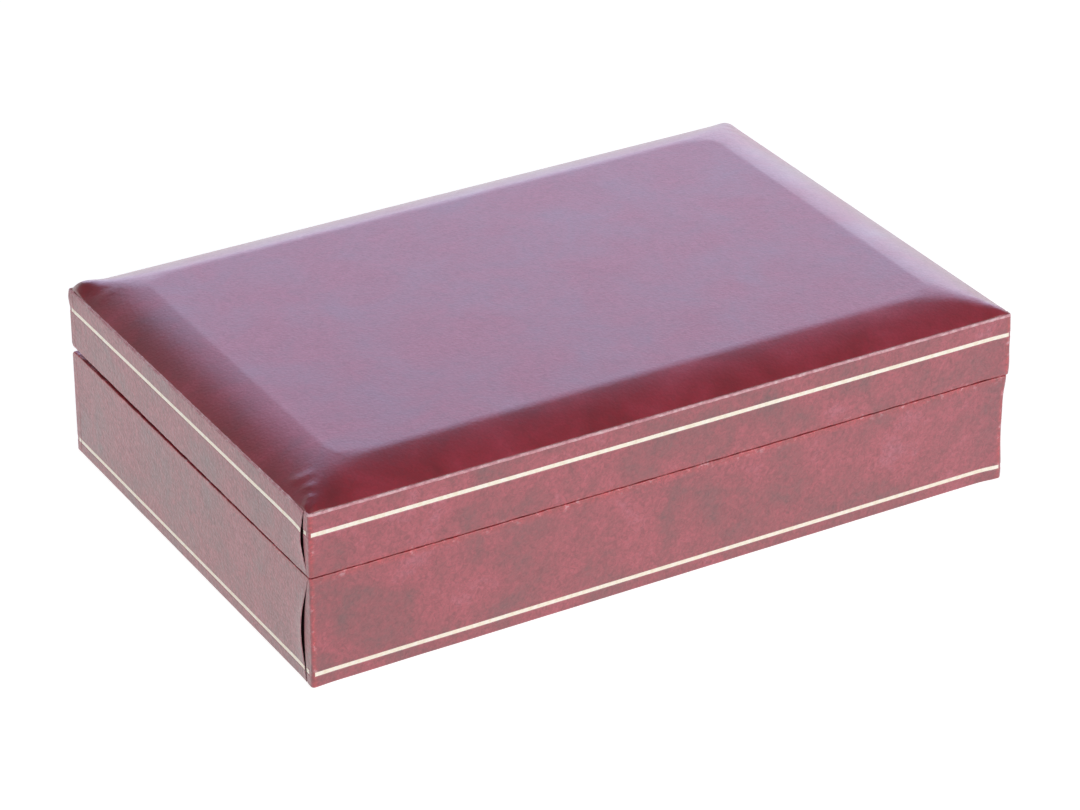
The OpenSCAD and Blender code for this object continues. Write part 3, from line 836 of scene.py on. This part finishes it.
def colour(code):
    """The linear colour of an sRGB hex code."""
    part = [int(code[k:k + 2], 16) / 255 for k in (1, 3, 5)]
    return [c / 12.92 if c <= 0.04045 else ((c + 0.055) / 1.055) ** 2.4 for c in part] + [1.0]


def add(tree, kind, inputs=None, **settings):
    """A node with its settings, each input given a value or a link from a socket."""
    node = tree.nodes.new("ShaderNode" + kind)
    for key, value in settings.items():
        setattr(node, key, value)
    for key, value in (inputs or {}).items():
        if isinstance(value, bpy.types.NodeSocket):
            tree.links.new(value, node.inputs[key])
        else:
            node.inputs[key].default_value = value
    return node


def material(name, **values):
    """A material with those values on its shader, and its coordinates in millimetres."""
    made = bpy.data.materials.new(name)
    made.use_nodes = True
    tree = made.node_tree
    shader = tree.nodes["Principled BSDF"]
    for key, value in values.items():
        shader.inputs[key.replace("_", " ")].default_value = value
    place = add(tree, "TexCoord").outputs["Object"]
    mm = add(tree, "VectorMath", {0: place, 1: (1000, 1000, 1000)}, operation="MULTIPLY").outputs[0]
    return made, tree, shader, mm


def ramp(tree, factor, *stops):
    """A colour ramp through (position, hex code) stops."""
    node = add(tree, "ValToRGB", {"Fac": factor})
    points = node.color_ramp.elements
    while len(points) < len(stops):
        points.new(0.5)
    for point, (position, code) in zip(points, stops):
        point.position = position
        point.color = colour(code)
    return node.outputs["Color"]


def leatherette(name, gloss, grain, depth, cloud, speckled, reds):
    """Burgundy leatherette: cloth-backed sheet, printed in cloudy clear reds and embossed with a fine grain.

    The clouds make it look like dyed hide, the grain breaks the highlights up, and the varnish over both
    gives the pale haze that grows towards grazing light. Along folds and rims the print is rubbed: redder,
    with pale flecks that are partly a painted highlight where the rims catch the light. The fine creases are
    painted darker, as shade.
    cloud is the clouds' size in millimetres, and depth how dark the painted shade in the creases is.
    """
    made, tree, shader, mm = material(
        name, Roughness=gloss, Specular_IOR_Level=1.0, Coat_Weight=1.0, Coat_Roughness=0.32, Coat_IOR=1.68,
        Sheen_Weight=0.08, Sheen_Roughness=0.5, Sheen_Tint=colour("#E0CBD6"))
    clouds = add(tree, "TexNoise", {"Vector": mm, "Scale": 1 / cloud, "Detail": 5, "Roughness": 0.62,
                                    "Distortion": 0.4})
    specks = add(tree, "TexNoise", {"Vector": mm, "Scale": 1 / 1.7, "Detail": 3, "Roughness": 0.6})
    both = add(tree, "Mix", {"Factor": speckled, 2: clouds.outputs["Fac"], 3: specks.outputs["Fac"]},
               data_type="FLOAT")
    print_red = ramp(tree, both.outputs[0], *reds)
    # The worn attribute brings real rubbing on the corners and a painted highlight along the rims
    rubbed = add(tree, "Attribute", attribute_name="worn").outputs["Fac"]
    flecks = add(tree, "TexNoise", {"Vector": mm, "Scale": 1 / 2.2, "Detail": 4, "Roughness": 0.65})
    # Rubbed colour: the red stops are the worn print, and the pale top stop is partly a painted highlight
    bare_and_highlight = ramp(tree, flecks.outputs["Fac"], (0.44, "#A8061C"), (0.57, "#CC1630"), (0.68, "#E0A6AE"))
    patchy = add(tree, "MapRange", {"Value": clouds.outputs["Fac"], "From Min": 0.35, "From Max": 0.6})
    kept = add(tree, "MapRange", {"Value": patchy.outputs[0], "To Min": 0.65, "To Max": 1.0})
    share = add(tree, "Math", {0: rubbed, 1: kept.outputs[0]}, operation="MULTIPLY")
    skin = add(tree, "Mix", {"Factor": share.outputs[0], 6: print_red, 7: bare_and_highlight}, data_type="RGBA")
    rough = add(tree, "MapRange", {"Value": clouds.outputs["Fac"], "From Min": 0.3, "From Max": 0.7,
                                   "To Min": gloss - 0.06, "To Max": gloss + 0.08})
    pebbles = add(tree, "TexVoronoi", {"Vector": mm, "Scale": 1 / 1.05, "Smoothness": 0.6, "Randomness": 1.0},
                  feature="SMOOTH_F1")
    fine = add(tree, "TexNoise", {"Vector": mm, "Scale": 1 / 0.7, "Detail": 2, "Roughness": 0.5})
    relief = add(tree, "Mix", {"Factor": 0.4, 2: pebbles.outputs["Distance"], 3: fine.outputs["Fac"]},
                 data_type="FLOAT")
    # Painted shade in the fine creases: a streaky noise that darkens the colour towards #4C0A18, by up to
    # depth, and makes it matter
    crease_shade_noise = add(tree, "TexNoise", {"Vector": mm, "Scale": 1 / 1.9, "Detail": 4, "Roughness": 0.7,
                                   "Distortion": 1.6})
    creases = add(tree, "MapRange", {"Value": crease_shade_noise.outputs["Fac"], "From Min": 0.42, "From Max": 0.66,
                                     "To Min": 0.0, "To Max": depth})
    deep = add(tree, "Mix", {"Factor": creases.outputs[0], 6: skin.outputs[2], 7: colour("#4C0A18")},
               data_type="RGBA")
    tree.links.new(deep.outputs[2], shader.inputs["Base Color"])
    matt = add(tree, "Math", {0: creases.outputs[0], 1: 0.5, 2: rough.outputs[0]}, operation="MULTIPLY_ADD")
    tree.links.new(matt.outputs[0], shader.inputs["Roughness"])
    bump = add(tree, "Bump", {"Height": relief.outputs[0], "Strength": 1.15 * grain, "Distance": 0.2 * MM})
    tree.links.new(bump.outputs[0], shader.inputs["Normal"])
    tree.links.new(bump.outputs[0], shader.inputs["Coat Normal"])
    return made


def grained(name, stops, feature_mm, depth_mm, stretch=(1, 1, 1), **values):
    """A material whose colour and small relief follow one noise, drawn out by stretch."""
    made, tree, shader, mm = material(name, **values)
    drawn = add(tree, "VectorMath", {0: mm, 1: stretch}, operation="MULTIPLY").outputs[0]
    noise = add(tree, "TexNoise", {"Vector": drawn, "Scale": 1 / feature_mm, "Detail": 4, "Roughness": 0.6})
    tree.links.new(ramp(tree, noise.outputs["Fac"], *stops), shader.inputs["Base Color"])
    bump = add(tree, "Bump", {"Height": noise.outputs["Fac"], "Strength": 0.6, "Distance": depth_mm * MM})
    tree.links.new(bump.outputs[0], shader.inputs["Normal"])
    return made


# On the strips the sheet keeps its full grain, so they look matter and more mottled than the top
strip_leather = leatherette("burgundy leatherette, grained", 0.46, 0.62, 0.48, 19, 0.24, [
    (0.32, "#6C0F20"), (0.48, "#981A33"), (0.57, "#AC2C44"), (0.70, "#B8546A")])
# Stretched over the cushion the grain is drawn flat, so the top is smoother, with a broad soft shine
top_leather = leatherette("burgundy leatherette, stretched over the cushion", 0.38, 0.20, 0.24, 24, 0.12, [
    (0.28, "#7E0C20"), (0.48, "#9A132B"), (0.60, "#A8203A"), (0.76, "#B6465C")])

# Cut edge of the sheet, its woven backing showing: pale dusty pink, rough. On the lid it also covers the
# first stretch of the face, where it is a painted highlight along the raw edge
cut_edge_and_highlight = grained("cloth-backed cut edge", [(0.34, "#CB8E98"), (0.5, "#DDA9B1"), (0.66, "#EAC9CE")],
                   1.7, 0.08, Roughness=0.85, Specular_IOR_Level=0.3)
# Where the strip runs on under the end strip: the sheet's face, painted near black as the shade in the gap
# beside the wrap
painted_shade_underlay = grained("leatherette dark with old glue", [(0.3, "#16060A"), (0.5, "#220A10"), (0.7, "#301018")],
                    1.5, 0.05, Roughness=0.8, Specular_IOR_Level=0.2)
# Hot-pressed foil: pale gold, dulled by the grain pressed through it, so it shines broadly, not like a mirror
gilt_foil = grained("pale gilt foil, hot pressed", [(0.3, "#F4E8D2"), (0.5, "#FCF4E4"), (0.7, "#FFFBF3")],
                    1.6, 0.012, Metallic=0.55, Roughness=0.36)
# Planed beech, never seen but where a covering ends: long fine grain along the board
beech = grained("planed beech", [(0.3, "#B98D62"), (0.5, "#CFA67A"), (0.7, "#DDB98F")],
                1.2, 0.03, (0.05, 1, 1), Roughness=0.6)
# Short cotton pile: soft, with a pale bloom at grazing angles from its sheen
velvet = grained("burgundy cotton velvet", [(0.30, "#56101F"), (0.5, "#661529"), (0.70, "#7C2439")],
                 9, 0.12, Roughness=0.95, Specular_IOR_Level=0.15, Sheen_Weight=0.9, Sheen_Roughness=0.35,
                 Sheen_Tint=colour("#C77C8E"))
# Pale woven satin: threads along X, so it shines in soft bands
satin = grained("ivory satin", [(0.3, "#E6D6B8"), (0.5, "#F0E4CC"), (0.7, "#F7EEDD")],
                0.35, 0.02, (0.12, 1, 1), Roughness=0.34, Specular_IOR_Level=0.8, Sheen_Weight=0.35,
                Anisotropic=0.5)
# Pressed wool felt on the underside: matt, with stray fibres
felt = grained("dark felt", [(0.3, "#2A1418"), (0.5, "#3A1D22"), (0.7, "#4A2A2E")],
               0.7, 0.15, Roughness=0.95, Specular_IOR_Level=0.1, Sheen_Weight=0.4, Sheen_Roughness=0.5)
# Stamped brass sheet, lacquered: faint rolling marks along the leaf
brass = grained("stamped brass", [(0.3, "#B08A3E"), (0.5, "#C79F4E"), (0.7, "#D4B062")],
                0.6, 0.01, (0.1, 1, 1), Metallic=1.0, Roughness=0.30)
# Turned brass: finer marks and a little brighter
screw_brass = grained("turned brass", [(0.3, "#BC9646"), (0.5, "#D0AA58"), (0.7, "#DFBE72")],
                      0.3, 0.006, Metallic=1.0, Roughness=0.24)
# Drawn steel wire of the pins
steel = grained("drawn steel", [(0.3, "#8F9194"), (0.5, "#A9ABAE"), (0.7, "#BCBEC1")],
                0.4, 0.004, (0.1, 1, 1), Metallic=1.0, Roughness=0.28)


# The pieces

for tray in (base, lid):
    grids = {side: (long_strip if side in ("front", "rear") else end_strip)(tray, side)
             for side in ("front", "rear", "left", "right")}
    for side, pair in grids.items():
        make_strip(tray, side, pair)
    gilt_line(tray, grids)
top_covering()

for side in ("front", "rear", "left", "right"):
    card(f"base_{side}_lining", velvet, "base")
    card(f"lid_{side}_lining", satin, "lid")
padded_panel("base_floor_pad", velvet, "base", 0.7, 1.0 * MM, 61)
padded_panel("lid_pad", satin, "lid", 0.5, 3.8 * MM, 31)

# The solids that show as they are, by the last word of their names
FINISHES = {
    "board": beech,
    "wall": beech,
    "underside": felt,
    "leaf": brass,
    "pin": steel,
    "screws": screw_brass,
}
for name, node in frame["nodes"].items():
    finish = next((f for word, f in FINISHES.items() if name.endswith(word)), None)
    if finish is None:
        continue
    node.data.materials.clear()
    node.data.materials.append(finish)
    if name.endswith("leaf"):
        weld = node.modifiers.new("weld", "WELD")
        weld.merge_threshold = 0.001 * MM
        soft = node.modifiers.new("soft edges", "BEVEL")
        soft.width = 0.12 * MM
        soft.segments = 2
        soft.limit_method = "ANGLE"


# Floor, light and camera

def lamp(name, place, aim, width, height, radiance, code):
    """A soft rectangular lamp at a place, turned to a point, that looks that bright from it."""
    data = bpy.data.lights.new(name, "AREA")
    data.shape = "RECTANGLE"
    data.size = width
    data.size_y = height
    data.energy = radiance * math.pi * width * height
    data.color = colour(code)[:3]
    thing = bpy.data.objects.new(name, data)
    thing.location = place
    way = np.array(aim) - np.array(place)
    way = way / np.linalg.norm(way)
    side = np.cross(way, (0, 0, 1))
    side = side / np.linalg.norm(side)
    set_axes(thing, side, np.cross(side, way), -way)
    thing.visible_camera = False
    bpy.context.scene.collection.objects.link(thing)


def set_axes(thing, right, up, back):
    """Turns an object so that its X, Y and Z lie along three directions."""
    place = thing.location.copy()
    turn = Matrix([[float(right[k]), float(up[k]), float(back[k])] for k in range(3)]).to_4x4()
    thing.matrix_world = Matrix.Translation(place) @ turn


floor_mesh = bpy.data.meshes.new("floor")
floor_mesh.from_pydata([(-30, -30, 0), (30, -30, 0), (30, 30, 0), (-30, 30, 0)], [], [(0, 1, 2, 3)])
floor = bpy.data.objects.new("floor", floor_mesh)
floor.location.z = -0.05 * MM
bpy.context.scene.collection.objects.link(floor)

# White paper: what the camera and the reflections see is lifted to white, and keeps the box's shadow
paper = bpy.data.materials.new("white paper")
paper.use_nodes = True
tree = paper.node_tree
tree.nodes.clear()
rays = add(tree, "LightPath").outputs
seen = add(tree, "Math", {0: rays["Is Camera Ray"], 1: rays["Is Glossy Ray"]}, operation="MAXIMUM")
seen = add(tree, "Math", {0: seen.outputs[0], 1: rays["Is Transmission Ray"]}, operation="MAXIMUM")
plain = add(tree, "BsdfDiffuse", {"Color": colour("#E4E4E4")})
shade = add(tree, "BsdfDiffuse", {"Color": colour("#ACACAC")})
glow = add(tree, "Emission", {"Color": colour("#FFFFFF"), "Strength": 0.87})
lifted = add(tree, "AddShader", {0: shade.outputs[0], 1: glow.outputs[0]})
choice = add(tree, "MixShader", {0: seen.outputs[0], 1: plain.outputs[0], 2: lifted.outputs[0]})
add(tree, "OutputMaterial", {"Surface": choice.outputs[0]})
floor_mesh.materials.append(paper)

# Studio surround: white towards the horizon and dim overhead
world = bpy.data.worlds.new("studio")
bpy.context.scene.world = world
world.use_nodes = True
tree = world.node_tree
tree.nodes.clear()
way = add(tree, "SeparateXYZ", {0: add(tree, "TexCoord").outputs["Generated"]})
level = add(tree, "MapRange", {"Value": way.outputs["Z"], "From Min": 0.05, "From Max": 0.55, "To Min": 0.95,
                               "To Max": 0.10}, interpolation_type="SMOOTHSTEP")
sky = add(tree, "Background", {"Color": colour("#FFFFFF"), "Strength": level.outputs[0]})
add(tree, "OutputWorld", {"Surface": sky.outputs[0]})

lamp("key", (0.35, -1.9, 0.75), (0, 0, 0.03), 1.7, 1.0, 3.3, "#FFFBF8")
lamp("fill", (-0.7, -0.9, 1.7), (0, 0, 0.03), 1.1, 0.9, 2.4, "#FFFFFF")
lamp("back", (0.86, 1.42, 0.74), (0, 0, 0.05), 1.75, 1.3, 1.47, "#D1CDFF")

# The camera fitted to the photo: its turns in radians, its lens in millimetres, and its place
YAW, PITCH, ROLL = 0.5314, 0.5052, 0.0031
LENS = 134.42
CAMERA_PLACE = (-0.5754, -0.9812, 0.6504)
ahead = np.array([math.sin(YAW) * math.cos(PITCH), math.cos(YAW) * math.cos(PITCH), -math.sin(PITCH)])
right = np.array([math.cos(YAW), -math.sin(YAW), 0])
up = np.cross(right, ahead)
camera_data = bpy.data.cameras.new("camera")
camera_data.lens = LENS
camera_data.sensor_width = 36
camera_data.clip_start = 0.05
camera_data.clip_end = 100
camera = bpy.data.objects.new("camera", camera_data)
camera.location = CAMERA_PLACE
tilted = right * math.cos(ROLL) + up * math.sin(ROLL)
set_axes(camera, tilted, up * math.cos(ROLL) - right * math.sin(ROLL), -ahead)
bpy.context.scene.collection.objects.link(camera)
bpy.context.scene.camera = camera
bpy.context.scene.view_settings.view_transform = "Standard"
